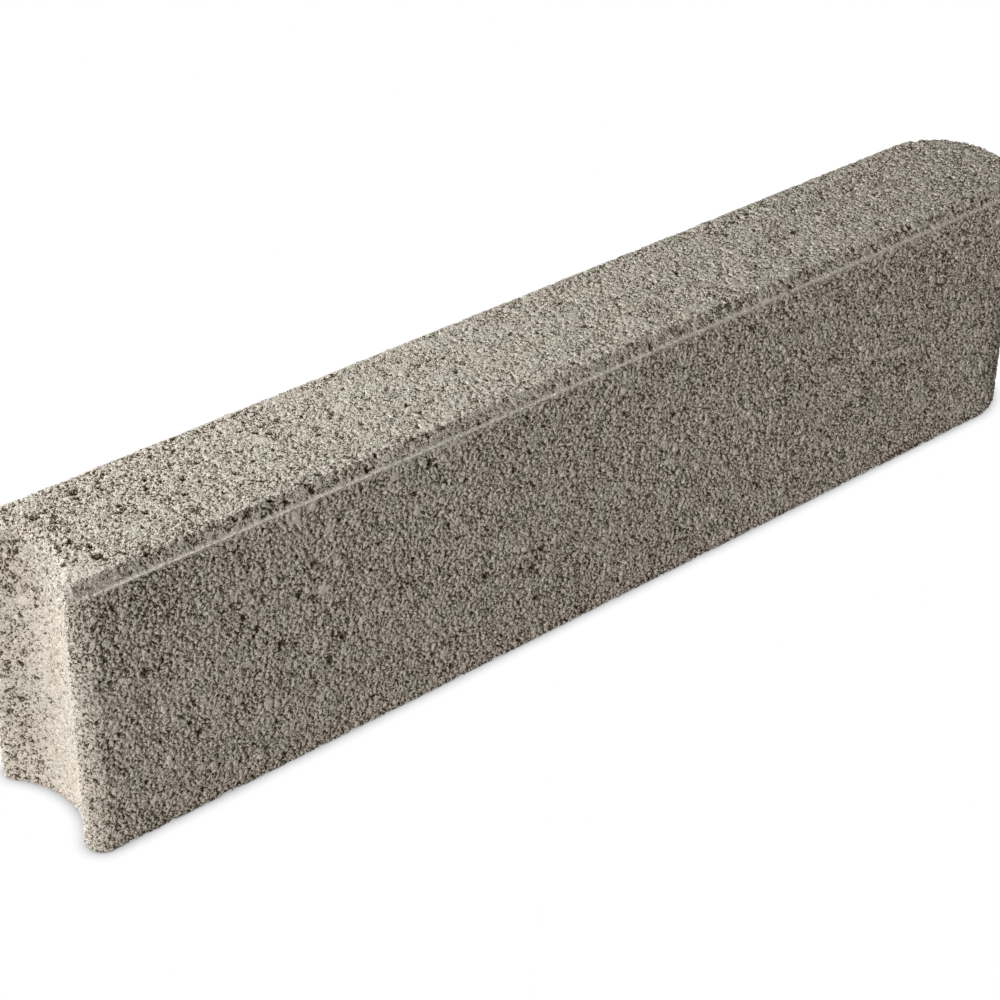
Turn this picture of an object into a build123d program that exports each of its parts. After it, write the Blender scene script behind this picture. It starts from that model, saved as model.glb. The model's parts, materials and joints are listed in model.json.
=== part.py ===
"""Concrete kerb stone, cast and pressed upright in one piece.

One end has a round nose and the other a groove that takes the nose of the next stone, so that
a row of stones can follow a curve. The press plate leaves a chamfer and a narrow ledge along
the two long top edges and round the nose.

Millimetres. X runs along the stone from the groove to the nose, Y across it and Z up.
The origin is on the base, in the middle of the stone's box.
"""

from build123d import *

import os
from math import sqrt

# Overall size, with the length taken from the tips of the lips to the nose
LENGTH = 450.0
WIDTH = 60.0
HEIGHT = 100.0

# Joint between two stones
JOINT_CLEARANCE = 2.0
LIP_RADIUS = 6.0

# Edges of the press plate: a ledge outside it, and the chamfer that it forms
LEDGE_WIDTH = 1.5
CHAMFER_RISE = 3.5
CHAMFER_ANGLE = 45.0

# Soft edges left by the mould
GROOVE_EDGE_RADIUS = 2.0
BASE_EDGE_RADIUS = 1.0

# Values that follow from the sizes above
HALF_LENGTH = LENGTH / 2
HALF_WIDTH = WIDTH / 2
NOSE_RADIUS = HALF_WIDTH
NOSE_CENTRE_X = HALF_LENGTH - NOSE_RADIUS
GROOVE_RADIUS = NOSE_RADIUS + JOINT_CLEARANCE
LEDGE_HEIGHT = HEIGHT - CHAMFER_RISE

# Each lip's arc touches the stone's side and the groove's arc
LIP_CENTRE_X = LIP_RADIUS - HALF_LENGTH
LIP_CENTRE_Y = HALF_WIDTH - LIP_RADIUS
LIP_TO_GROOVE = GROOVE_RADIUS + LIP_RADIUS
GROOVE_CENTRE_X = LIP_CENTRE_X - sqrt(LIP_TO_GROOVE**2 - LIP_CENTRE_Y**2)


def stone_plan():
    """Outline of the stone seen from above."""
    groove_share = GROOVE_RADIUS / LIP_TO_GROOVE
    touch_x = GROOVE_CENTRE_X + (LIP_CENTRE_X - GROOVE_CENTRE_X) * groove_share
    touch_y = LIP_CENTRE_Y * groove_share
    groove_floor = (GROOVE_CENTRE_X + GROOVE_RADIUS, 0)
    outline = [
        Line((LIP_CENTRE_X, -HALF_WIDTH), (NOSE_CENTRE_X, -HALF_WIDTH)),
        ThreePointArc((NOSE_CENTRE_X, -HALF_WIDTH), (HALF_LENGTH, 0), (NOSE_CENTRE_X, HALF_WIDTH)),
        Line((NOSE_CENTRE_X, HALF_WIDTH), (LIP_CENTRE_X, HALF_WIDTH)),
        ThreePointArc((LIP_CENTRE_X, HALF_WIDTH), (-HALF_LENGTH, LIP_CENTRE_Y), (touch_x, touch_y)),
        ThreePointArc((touch_x, touch_y), groove_floor, (touch_x, -touch_y)),
        ThreePointArc((touch_x, -touch_y), (-HALF_LENGTH, -LIP_CENTRE_Y), (LIP_CENTRE_X, -HALF_WIDTH)),
    ]
    return make_face(outline)


def cast_block():
    """The stone as the mould walls form it, with its soft upper and lower edges."""
    block = extrude(stone_plan(), HEIGHT)
    upper_edges = block.faces().sort_by(Axis.Z)[-1].edges()
    block = fillet(upper_edges, GROOVE_EDGE_RADIUS)
    lower_edges = block.faces().sort_by(Axis.Z)[0].edges()
    return fillet(lower_edges, BASE_EDGE_RADIUS)


def pressed_top():
    """Room under the press plate above the ledge, drawn in by the chamfer and open past the groove end."""
    plate_half = HALF_WIDTH - LEDGE_WIDTH
    nose_tip = (NOSE_CENTRE_X + plate_half, 0)
    open_end_x = -LENGTH
    outline = [
        Line((open_end_x, -plate_half), (NOSE_CENTRE_X, -plate_half)),
        ThreePointArc((NOSE_CENTRE_X, -plate_half), nose_tip, (NOSE_CENTRE_X, plate_half)),
        Line((NOSE_CENTRE_X, plate_half), (open_end_x, plate_half)),
        Line((open_end_x, plate_half), (open_end_x, -plate_half)),
    ]
    plate = Pos(0, 0, LEDGE_HEIGHT) * make_face(outline)
    return extrude(plate, CHAMFER_RISE, taper=CHAMFER_ANGLE)


def kerb_stone():
    """The finished stone: the cast block, trimmed above the ledge by the press plate."""
    block = cast_block()
    ledge_plane = Plane.XY.offset(LEDGE_HEIGHT)
    below_ledge = split(block, ledge_plane, keep=Keep.BOTTOM)
    above_ledge = split(block, ledge_plane, keep=Keep.TOP)
    return below_ledge + (above_ledge & pressed_top())


os.makedirs("parts", exist_ok=True)
export_step(kerb_stone(), "parts/kerb_stone.step")
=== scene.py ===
"""Looks of the concrete kerb stone: its grainy concrete skin, a plain studio and the camera.

The skin repeats the stone's shape from the frame in closed pieces that meet edge to edge: the top,
which the press plate formed, five panels of the sides, which the mould formed, and the base. One
Geometry Nodes tree raises grains and sinks pits in them, another one beds sand and small stones,
and the concrete's finish adds the fine pores, painted shade in them, and the colours. Lengths are in
metres.
"""

import json
import logging
import math
from abc import ABC, abstractmethod
from dataclasses import dataclass
from enum import Enum

import bpy
import numpy as np
from mathutils import Matrix, Vector, noise
from mathutils.geometry import delaunay_2d_cdt
from mathutils.kdtree import KDTree


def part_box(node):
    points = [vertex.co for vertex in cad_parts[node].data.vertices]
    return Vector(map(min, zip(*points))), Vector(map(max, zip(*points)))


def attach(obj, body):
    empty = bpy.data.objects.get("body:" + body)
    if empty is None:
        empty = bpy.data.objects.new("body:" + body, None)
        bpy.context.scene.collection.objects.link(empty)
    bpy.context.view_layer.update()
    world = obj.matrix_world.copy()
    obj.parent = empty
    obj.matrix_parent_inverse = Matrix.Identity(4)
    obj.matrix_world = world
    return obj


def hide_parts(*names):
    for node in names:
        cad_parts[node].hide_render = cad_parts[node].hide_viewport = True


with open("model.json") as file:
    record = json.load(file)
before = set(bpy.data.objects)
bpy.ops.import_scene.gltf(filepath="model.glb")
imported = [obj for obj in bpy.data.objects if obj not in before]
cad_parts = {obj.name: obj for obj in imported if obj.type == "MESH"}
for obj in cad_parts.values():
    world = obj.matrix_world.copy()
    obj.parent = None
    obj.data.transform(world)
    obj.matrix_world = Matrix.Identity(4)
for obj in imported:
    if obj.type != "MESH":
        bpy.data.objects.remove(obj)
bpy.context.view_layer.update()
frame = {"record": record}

LOG = logging.getLogger("kerb_stone")
MM = 0.001
NODE = "kerb_stone"

Colour = tuple[float, float, float, float]
Spot = tuple[float, float, float, float]

# Shifts of scattered points, in cells, and the soft edge of a spot, in radii
JITTER = 0.2
SPOT_EDGE = 1.15
SPOT_FADE = 0.5

# Angle from which an edge shows as sharp, and how open the smooth band in the groove is
SHARP_ANGLE = math.radians(60)
SMOOTH_BAND = 0.6

# Height at which the noise of worn edges is read
SPECKLE_HEIGHT = 0.3 * MM

# Settings of the triangulation: only the inside is kept, and points this close are the same
FILL_INSIDE = 1
SAME_POINT = 1e-7

# Larger holes and flat spots that show in the photograph: x, y, z and radius in millimetres
TOP_HOLES: tuple[Spot, ...] = (
    (-129, -23, 100, 1.4), (-135, -27, 98, 1.1), (-145, -27, 98, 1.1), (-150, -25, 100, 1.2),
    (-159, -26, 99, 1.3), (-164, -26, 99, 1.1), (-129, 10, 100, 1.3), (-140, 4, 100, 1.2),
    (-194, 17, 100, 1.6), (-211, 13, 100, 1.6), (-208, -17, 100, 1.9), (-210, -5, 100, 1.6),
    (-219, -14, 100, 1.4))
FRONT_HOLES: tuple[Spot, ...] = (
    (-143, -30, 64, 1.7), (-151, -30, 48, 1.8), (-160, -30, 58, 1.6), (-165, -30, 65, 1.6),
    (-132, -30, 33, 1.7), (-126, -30, 40, 1.7), (-202, -30, 61, 1.9), (-184, -30, 29, 1.6),
    (-137, -30, 73, 1.7), (-89, -30, 91, 1.8), (-83, -30, 81, 1.4), (-64, -30, 69, 1.3),
    (-65, -30, 37, 1.7), (-53, -30, 74, 1.4), (-44, -30, 31, 1.8), (-39, -30, 37, 1.9),
    (22, -30, 67, 1.7), (56, -30, 36, 1.4), (88, -30, 54, 1.4), (115, -30, 63, 1.6),
    (128, -30, 39, 1.6), (161, -30, 42, 1.7))
GROOVE_HOLES: tuple[Spot, ...] = (
    (-220, 14, 81, 1.4), (-221, 17, 76, 1.3), (-223, 19, 47, 1.2), (-220, 15, 48, 1.3),
    (-218, 10, 44, 1.1), (-220, 16, 34, 1.3), (-217, 5, 38, 1.0), (-223, 20, 28, 1.2),
    (-220, 14, 18, 1.2), (-219, 13, 10, 1.2), (-223, 20, 9, 1.2))
FLAT_SPOTS: tuple[Spot, ...] = (
    (-144, -30, 93, 2.6), (-137, -30, 94, 1.7), (-134, -30, 62, 2.1), (-104, -30, 92, 1.8),
    (-95, -30, 75, 1.7), (-100, 5, 100, 1.8), (-131, 5, 100, 2.0), (-219, 12, 73, 2.1),
    (-158, -30, 33, 1.4), (-136, -30, 20, 1.5), (-131, -30, 83, 1.6), (-122, -30, 18, 1.1),
    (-84, -30, 13, 1.8), (-79, -30, 95, 1.5), (-34, -30, 38, 1.4), (-3, -30, 86, 1.5),
    (18, -30, 57, 1.2), (27, -30, 81, 1.4), (61, -30, 53, 1.5), (129, -30, 54, 1.3))


class Trait(Enum):
    """Values kept on every point of the skin, read by the relief and by the finish."""

    CAST_PLACE = "cast_place"
    CAST_NORMAL = "cast_normal"
    OPENNESS = "openness"
    PASTE = "paste"
    HOLLOW = "hollow"
    HELD = "held"
    RELIEF = "relief"
    TONE = "tone"


class NodeKit:
    """Adds nodes to one node tree, for a material or for Geometry Nodes."""

    def __init__(self, tree: bpy.types.NodeTree) -> None:
        """Keeps the tree that the nodes go into."""
        self.tree = tree

    def add(self, kind: str, **settings: object) -> bpy.types.Node:
        """Adds one node.

        Args:
            kind: Blender's name of the node type.
            **settings: Properties of the node.

        Returns:
            The new node.
        """
        node = self.tree.nodes.new(kind)
        for name, value in settings.items():
            setattr(node, name, value)
        return node

    def feed(self, socket: bpy.types.NodeSocket, value: object) -> None:
        """Links a socket to an output, or sets its constant.

        Args:
            socket: Input socket.
            value: Output socket, number, vector or colour.
        """
        if isinstance(value, bpy.types.NodeSocket):
            self.tree.links.new(value, socket)
        else:
            socket.default_value = value

    def math(self, operation: str, first: object, second: object = 0.0,
             clamp: bool = False) -> bpy.types.NodeSocket:
        """Adds a Math node.

        Args:
            operation: Name of the operation.
            first: First value or socket.
            second: Second value or socket.
            clamp: Whether the result stays between 0 and 1.

        Returns:
            The result's socket.
        """
        node = self.add("ShaderNodeMath", operation=operation, use_clamp=clamp)
        self.feed(node.inputs[0], first)
        self.feed(node.inputs[1], second)
        return node.outputs[0]

    def total(self, *terms: tuple[object, object]) -> bpy.types.NodeSocket:
        """Adds up values, each times its weight.

        Args:
            *terms: Pairs of a value and its weight, either of them a number or a socket.

        Returns:
            The sum's socket.
        """
        result = None
        for value, weight in terms:
            part = self.math("MULTIPLY", value, weight)
            result = part if result is None else self.math("ADD", result, part)
        return result

    def noise(self, place: object, cell: object, seed: object, detail: float = 2.0,
              rough: float = 0.5) -> bpy.types.NodeSocket:
        """Adds noise whose blots are about one cell across.

        Args:
            place: Socket with the position.
            cell: Size of a blot in metres.
            seed: Number or socket that sets one noise apart from the others.
            detail: Number of finer layers.
            rough: Strength of the finer layers.

        Returns:
            The socket of the value, which runs from about -0.5 to 0.5.
        """
        node = self.add("ShaderNodeTexNoise", noise_dimensions="4D")
        self.feed(node.inputs["Vector"], place)
        self.feed(node.inputs["W"], seed)
        self.feed(node.inputs["Scale"], self.math("DIVIDE", 1.0, cell))
        node.inputs["Detail"].default_value = detail
        node.inputs["Roughness"].default_value = rough
        return self.math("SUBTRACT", node.outputs[0], 0.5)

    def shove(self, place: object, cell: float, reach: float) -> bpy.types.NodeSocket:
        """Shifts a position by noise, so that a pattern made from it gets irregular.

        Args:
            place: Socket with the position.
            cell: Size of the noise's blots.
            reach: How far the position shifts.

        Returns:
            The socket of the shifted position.
        """
        node = self.add("ShaderNodeTexNoise", noise_dimensions="3D")
        self.feed(node.inputs["Vector"], place)
        node.inputs["Scale"].default_value = 1.0 / cell
        node.inputs["Detail"].default_value = 0.0
        move = self.add("ShaderNodeVectorMath", operation="MULTIPLY_ADD")
        self.feed(move.inputs[0], node.outputs["Color"])
        move.inputs[1].default_value = (2.0 * reach,) * 3
        self.feed(move.inputs[2], place)
        return move.outputs[0]

    def grains(self, place: object, cell: object, seed: object) -> bpy.types.NodeSocket:
        """Adds packed grains.

        Args:
            place: Socket with the position.
            cell: Size of a grain in metres.
            seed: Vector or socket that sets one packing apart from the others.

        Returns:
            The socket of the distance from the middle of the nearest grain, in grains.
        """
        shift = self.add("ShaderNodeVectorMath", operation="ADD")
        self.feed(shift.inputs[0], place)
        self.feed(shift.inputs[1], seed)
        node = self.add("ShaderNodeTexVoronoi", voronoi_dimensions="3D", feature="F1")
        self.feed(node.inputs["Vector"], shift.outputs[0])
        self.feed(node.inputs["Scale"], self.math("DIVIDE", 1.0, cell))
        return node.outputs["Distance"]

    def gaps(self, place: object, cell: float) -> bpy.types.NodeSocket:
        """Adds the gaps between packed grains.

        Args:
            place: Socket with the position.
            cell: Size of a grain in metres.

        Returns:
            The socket of the distance from the nearest gap, in grains.
        """
        node = self.add("ShaderNodeTexVoronoi", voronoi_dimensions="3D", feature="DISTANCE_TO_EDGE")
        self.feed(node.inputs["Vector"], place)
        node.inputs["Scale"].default_value = 1.0 / cell
        return node.outputs["Distance"]

    def ramp(self, value: object, low: object, high: object, to_low: object = 0.0,
             to_high: object = 1.0, smooth: bool = True) -> bpy.types.NodeSocket:
        """Maps a value between two limits to a clamped range.

        Args:
            value: Value or socket.
            low: Value that gives to_low.
            high: Value that gives to_high.
            to_low: Result at the low limit.
            to_high: Result at the high limit.
            smooth: Whether the step eases in and out.

        Returns:
            The result's socket.
        """
        kind = "SMOOTHSTEP" if smooth else "LINEAR"
        node = self.add("ShaderNodeMapRange", interpolation_type=kind, clamp=True)
        limits = {"Value": value, "From Min": low, "From Max": high, "To Min": to_low, "To Max": to_high}
        for name, limit in limits.items():
            self.feed(node.inputs[name], limit)
        return node.outputs["Result"]

    def blend(self, share: object, first: object, second: object,
              mode: str = "MIX") -> bpy.types.NodeSocket:
        """Mixes two colours.

        Args:
            share: How much of the second colour shows.
            first: First colour.
            second: Second colour.
            mode: Blend mode.

        Returns:
            The colour's socket.
        """
        node = self.add("ShaderNodeMix", data_type="RGBA", blend_type=mode)
        self.feed(node.inputs[0], share)
        self.feed(node.inputs[6], first)
        self.feed(node.inputs[7], second)
        return node.outputs[2]


class SkinTree(NodeKit):
    """Nodes of a Geometry Nodes tree that works on a skin or its grains.

    Attributes:
        given: Sockets of the tree's inputs.
    """

    def __init__(self, name: str, sockets: dict[str, str]) -> None:
        """Starts the tree.

        Args:
            name: Name of the tree.
            sockets: Names and types of its inputs, besides the skin and the concrete.
        """
        super().__init__(bpy.data.node_groups.new(name, "GeometryNodeTree"))
        face = self.tree.interface
        for socket, kind in {"Geometry": "Geometry", **sockets, "Concrete": "Material"}.items():
            face.new_socket(socket, in_out="INPUT", socket_type=f"NodeSocket{kind}")
        face.new_socket("Geometry", in_out="OUTPUT", socket_type="NodeSocketGeometry")
        self.given = self.add("NodeGroupInput").outputs

    def read(self, trait: Trait, kind: str = "FLOAT") -> bpy.types.NodeSocket:
        """Reads one trait of the skin's points.

        Args:
            trait: The trait.
            kind: Blender's name of the value's type.

        Returns:
            The value's socket.
        """
        node = self.add("GeometryNodeInputNamedAttribute", data_type=kind)
        node.inputs["Name"].default_value = trait.value
        return node.outputs["Attribute"]

    def store(self, skin: bpy.types.NodeSocket, trait: Trait, kind: str,
              value: bpy.types.NodeSocket, domain: str = "POINT") -> bpy.types.NodeSocket:
        """Stores one trait on a skin's points or on grains.

        Args:
            skin: Socket of the skin or the grains.
            trait: The trait.
            kind: Blender's name of the value's type.
            value: Socket of the value.
            domain: Blender's name of what gets the value.

        Returns:
            The socket of the geometry with the trait.
        """
        node = self.add("GeometryNodeStoreNamedAttribute", data_type=kind, domain=domain)
        node.inputs["Name"].default_value = trait.value
        self.feed(node.inputs["Geometry"], skin)
        self.feed(node.inputs["Value"], value)
        return node.outputs[0]

    def scale(self, vector: object, factor: object) -> bpy.types.NodeSocket:
        """Scales a vector.

        Args:
            vector: The vector's socket.
            factor: Number or socket.

        Returns:
            The socket of the scaled vector.
        """
        node = self.add("ShaderNodeVectorMath", operation="SCALE")
        self.feed(node.inputs[0], vector)
        self.feed(node.inputs["Scale"], factor)
        return node.outputs[0]

    def move(self, skin: bpy.types.NodeSocket, way: str, vector: object) -> bpy.types.NodeSocket:
        """Moves the points.

        Args:
            skin: Socket of the skin or the grains.
            way: "Offset" or "Position".
            vector: Socket of the points' offset or of their new position.

        Returns:
            The socket of the moved geometry.
        """
        node = self.add("GeometryNodeSetPosition")
        self.feed(node.inputs["Geometry"], skin)
        self.feed(node.inputs[way], vector)
        return node.outputs[0]

    def close(self, skin: bpy.types.NodeSocket) -> bpy.types.NodeTree:
        """Gives the result the concrete and ends the tree with it.

        Args:
            skin: Socket of the result.

        Returns:
            The tree.
        """
        coat = self.add("GeometryNodeSetMaterial")
        self.feed(coat.inputs["Geometry"], skin)
        self.feed(coat.inputs["Material"], self.given["Concrete"])
        self.feed(self.add("NodeGroupOutput").inputs[0], coat.outputs[0])
        return self.tree


@dataclass(frozen=True)
class ConcreteFinish:
    """Open, sandy, warm grey concrete.

    Attributes:
        pore_start: Depth value where the painted shade in the pores starts.
        pore_end: Depth value where this painted shade is darkest.
        relief_shade_share: How much painted shade the relief gets where it is low, per millimetre.
        paste: Colour of the flat faces.
        pore_shade: Colour of the painted shade deep in the pores and the low places of the relief.
        warm: Tint of the warmer blots.
        cool: Tint of the greener blots.
        tint_cell: Size of these blots.
        tint_edge: Noise value where a blot has its full tint.
        pore_cell: Size of the fine pores.
        pore_shift: How far the pores are shifted out of order, in pores.
        pore_share: How much painted shade the fine pores get.
        pore_height: Depth of the fine pores.
        crevice_cell: Size of the grains that have crevices between them.
        crevice_width: Width of a crevice, in these grains.
        crevice_share: How much the crevices deepen, which sinks them in the bump and gives them painted
            shade.
        crumb_cell: Size of the finest crumbs.
        crumb_share: How much the gaps between the crumbs deepen, which sinks them in the bump and gives
            them painted shade.
        patch_cell: Size of the denser and more open patches.
        patch_share: How much these patches differ.
        tone_share: How much single sand grains differ in brightness.
        dust_share: How much the finest crumbs differ in brightness.
        roughness: Roughness of the surface.
        gloss: Specular level of the surface.
    """

    pore_start: float
    pore_end: float
    relief_shade_share: float = 0.35
    paste: Colour = (0.655, 0.628, 0.570, 1.0)
    pore_shade: Colour = (0.085, 0.066, 0.034, 1.0)
    warm: Colour = (1.015, 0.995, 0.98, 1.0)
    cool: Colour = (0.99, 1.00, 0.99, 1.0)
    tint_cell: float = 14.0 * MM
    tint_edge: float = 0.15
    pore_cell: float = 0.9 * MM
    pore_shift: float = 0.35
    pore_share: float = 1.0
    pore_height: float = 0.22 * MM
    crevice_cell: float = 1.6 * MM
    crevice_width: float = 0.14
    crevice_share: float = 0.3
    crumb_cell: float = 0.45 * MM
    crumb_share: float = 0.9
    patch_cell: float = 3.5 * MM
    patch_share: float = 0.45
    tone_share: float = 0.12
    dust_share: float = 1.0
    roughness: float = 0.92
    gloss: float = 0.25

    def material(self) -> bpy.types.Material:
        """Builds the material.

        Returns:
            The concrete, with its colour, pores and bump made by nodes.
        """
        made = bpy.data.materials.new("pressed_concrete")
        made.use_nodes = True
        kit = NodeKit(made.node_tree)
        shader = made.node_tree.nodes["Principled BSDF"]
        place = kit.add("ShaderNodeTexCoord").outputs["Object"]
        dust = kit.noise(place, self.crumb_cell, seed=3.0, detail=0.0)
        crumbs = self.crumbs(kit, place, dust)
        kit.feed(shader.inputs["Base Color"], self.colour(kit, place, dust, crumbs))
        kit.feed(shader.inputs["Normal"], self.bump(kit, crumbs))
        shader.inputs["Roughness"].default_value = self.roughness
        shader.inputs["Specular IOR Level"].default_value = self.gloss
        return made

    def crumbs(self, kit: NodeKit, place: bpy.types.NodeSocket,
               dust: bpy.types.NodeSocket) -> bpy.types.NodeSocket:
        """Makes fine crumbs of sand and paste with holes between them.

        Args:
            kit: Nodes of the material.
            place: Position on the skin.
            dust: Noise of the finest grains.

        Returns:
            The socket of the depth, from about -0.5 on the crumbs to 0.5 in the holes.
        """
        rough_place = kit.shove(place, self.pore_cell, self.pore_shift * self.pore_cell)
        pore = kit.math("SUBTRACT", 0.5, kit.grains(rough_place, self.pore_cell, seed=(1.0,) * 3))
        gap = kit.gaps(rough_place, self.crevice_cell)
        crevice = kit.ramp(gap, self.crevice_width, 0.0, smooth=False)
        return kit.total((pore, 1.0), (crevice, self.crevice_share), (dust, self.crumb_share))

    @staticmethod
    def read(kit: NodeKit, trait: Trait, output: str = "Fac") -> bpy.types.NodeSocket:
        """Reads one trait of the skin."""
        return kit.add("ShaderNodeAttribute", attribute_name=trait.value).outputs[output]

    def colour(self, kit: NodeKit, place: bpy.types.NodeSocket, dust: bpy.types.NodeSocket,
               crumbs: bpy.types.NodeSocket) -> bpy.types.NodeSocket:
        """Mixes the concrete's colours, with painted shade in the pores, the crevices and the low places
        of the relief.
            place: Position on the skin.
            dust: Noise of the finest grains.
            crumbs: Depth between the crumbs.

        Returns:
            The colour's socket.
        """
        relief = self.read(kit, Trait.RELIEF)
        openness = self.read(kit, Trait.OPENNESS)
        flat = kit.math("SUBTRACT", 1.0, self.read(kit, Trait.PASTE), clamp=True)
        patch = kit.noise(place, self.patch_cell, seed=2.0, detail=1.0)
        fine = kit.total((crumbs, self.pore_share), (patch, self.patch_share))
        # Painted shade: low relief and deep crumbs take on the colour of the shade deep in the pores
        depth = kit.total((relief, -self.relief_shade_share), (fine, openness))
        painted_shade = kit.ramp(depth, self.pore_start, self.pore_end, smooth=False)
        pore = kit.math("MULTIPLY", painted_shade, flat)
        blot = kit.noise(place, self.tint_cell, seed=4.0)
        tint = kit.blend(kit.ramp(blot, -self.tint_edge, self.tint_edge), self.warm, self.cool)
        face = kit.blend(1.0, self.paste, tint, mode="MULTIPLY")
        grain_tone = self.read(kit, Trait.TONE)
        tone = kit.total((grain_tone, self.tone_share), (dust, self.dust_share), (1.0, 1.0))
        face = kit.blend(1.0, face, tone, mode="MULTIPLY")
        return kit.blend(pore, face, self.pore_shade)

    def bump(self, kit: NodeKit, crumbs: bpy.types.NodeSocket) -> bpy.types.NodeSocket:
        """Turns the crumbs into a bumped normal.

        Args:
            kit: Nodes of the material.
            crumbs: Depth between the crumbs.

        Returns:
            The normal's socket.
        """
        flat = kit.math("SUBTRACT", 1.0, self.read(kit, Trait.PASTE), clamp=True)
        high = kit.math("MULTIPLY", kit.math("MULTIPLY", crumbs, -self.pore_height), flat)
        node = kit.add("ShaderNodeBump")
        node.inputs["Strength"].default_value = 1.0
        node.inputs["Distance"].default_value = 1.0
        kit.feed(node.inputs["Height"], kit.math("MULTIPLY", high, self.read(kit, Trait.OPENNESS)))
        return node.outputs["Normal"]


@dataclass(frozen=True)
class GrainRelief:
    """Geometry Nodes that raise grains and sink pits in a skin.

    Attributes:
        face_height: Height of the mould's or plate's face, which nothing stands above.
        grain_size: Size of the grains.
        grain_height: Height of the grains.
        sand_size: Size of the sand between the grains.
        sand_height: Height of the sand.
        bed_depth: How far the middle of the relief lies below the smooth skin.
        lump_size: Size of the lumps.
        lump_height: Height of the lumps.
        hollow_depth: Depth of the hollows.
        hole_spacing: Distance between the holes left by single missing grains.
        hole_rim: Radius of such a hole at its rim, in spacings.
        hole_floor: Radius of its floor, in spacings.
        shift_cell: Size of the shifts that make the grains irregular.
        shift_reach: How far the grains are shifted.
        seed: Seed of the grains and noises.
    """

    face_height: float
    grain_size: float
    grain_height: float
    sand_size: float
    sand_height: float
    bed_depth: float
    lump_size: float = 7.0 * MM
    lump_height: float = 0.9 * MM
    hollow_depth: float = 1.3 * MM
    hole_spacing: float = 6.0 * MM
    hole_rim: float = 0.20
    hole_floor: float = 0.10
    shift_cell: float = 2.5 * MM
    shift_reach: float = 0.5 * MM
    seed: float = 7.0

    def inputs(self) -> dict[str, float]:
        """The tree's named inputs and their values."""
        return {"Grain Size": self.grain_size, "Grain Height": self.grain_height,
                "Sand Size": self.sand_size, "Sand Height": self.sand_height,
                "Lump Size": self.lump_size, "Lump Height": self.lump_height,
                "Face Height": self.face_height, "Bed Depth": self.bed_depth,
                "Hollow Depth": self.hollow_depth, "Hole Spacing": self.hole_spacing, "Seed": self.seed}

    def tree(self) -> bpy.types.NodeTree:
        """Builds the node tree.

        Returns:
            The tree, with a named input for each of its sizes.
        """
        kit = SkinTree("grain_relief", dict.fromkeys(self.inputs(), "Float"))
        place = kit.add("GeometryNodeInputPosition").outputs[0]
        skin = kit.store(kit.given["Geometry"], Trait.CAST_PLACE, "FLOAT_VECTOR", place)
        # The finish reads this height and paints shade where the relief is low
        relief = kit.math("DIVIDE", self.rise(kit, place), MM)
        skin = kit.store(skin, Trait.RELIEF, "FLOAT", relief)
        normal = kit.read(Trait.CAST_NORMAL, "FLOAT_VECTOR")
        offset = kit.scale(kit.scale(normal, kit.read(Trait.RELIEF)), MM)
        return kit.close(kit.move(skin, "Offset", offset))

    def rise(self, kit: SkinTree, place: bpy.types.NodeSocket) -> bpy.types.NodeSocket:
        """Makes the height of the relief over the smooth skin.

        Args:
            kit: Nodes of the tree.
            place: Position on the smooth skin.

        Returns:
            The height's socket.
        """
        given = kit.given
        rough_place = kit.shove(place, self.shift_cell, self.shift_reach)
        openness = kit.read(Trait.OPENNESS)
        bare = kit.math("SUBTRACT", 1.0, kit.read(Trait.PASTE), clamp=True)
        grain = kit.math("SUBTRACT", 0.5, kit.grains(rough_place, given["Grain Size"], given["Seed"]))
        sand = kit.noise(place, given["Sand Size"], given["Seed"], detail=0.0)
        lump = kit.noise(place, given["Lump Size"], given["Seed"], detail=1.0)
        rise = kit.total((grain, given["Grain Height"]), (sand, given["Sand Height"]),
                         (lump, given["Lump Height"]))
        rise = kit.math("SUBTRACT", rise, given["Bed Depth"])
        rise = kit.math("MULTIPLY", kit.math("MULTIPLY", rise, openness), bare)
        rise = kit.math("MINIMUM", rise, given["Face Height"])
        hole_far = kit.grains(rough_place, given["Hole Spacing"], given["Seed"])
        hole = kit.math("MULTIPLY", kit.ramp(hole_far, self.hole_rim, self.hole_floor), openness)
        hole = kit.math("MAXIMUM", hole, kit.read(Trait.HOLLOW))
        hollow = kit.math("MULTIPLY", hole, given["Hollow Depth"])
        free = kit.math("SUBTRACT", 1.0, kit.read(Trait.HELD))
        return kit.math("MULTIPLY", kit.math("SUBTRACT", rise, hollow), free)

    def press(self, skin: bpy.types.Object, concrete: bpy.types.Material) -> None:
        """Presses the relief into a skin and leaves a plain mesh.

        Args:
            skin: The smooth skin.
            concrete: The material that it gets.
        """
        apply_tree(skin, self.tree(), {**self.inputs(), "Concrete": concrete})


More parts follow.
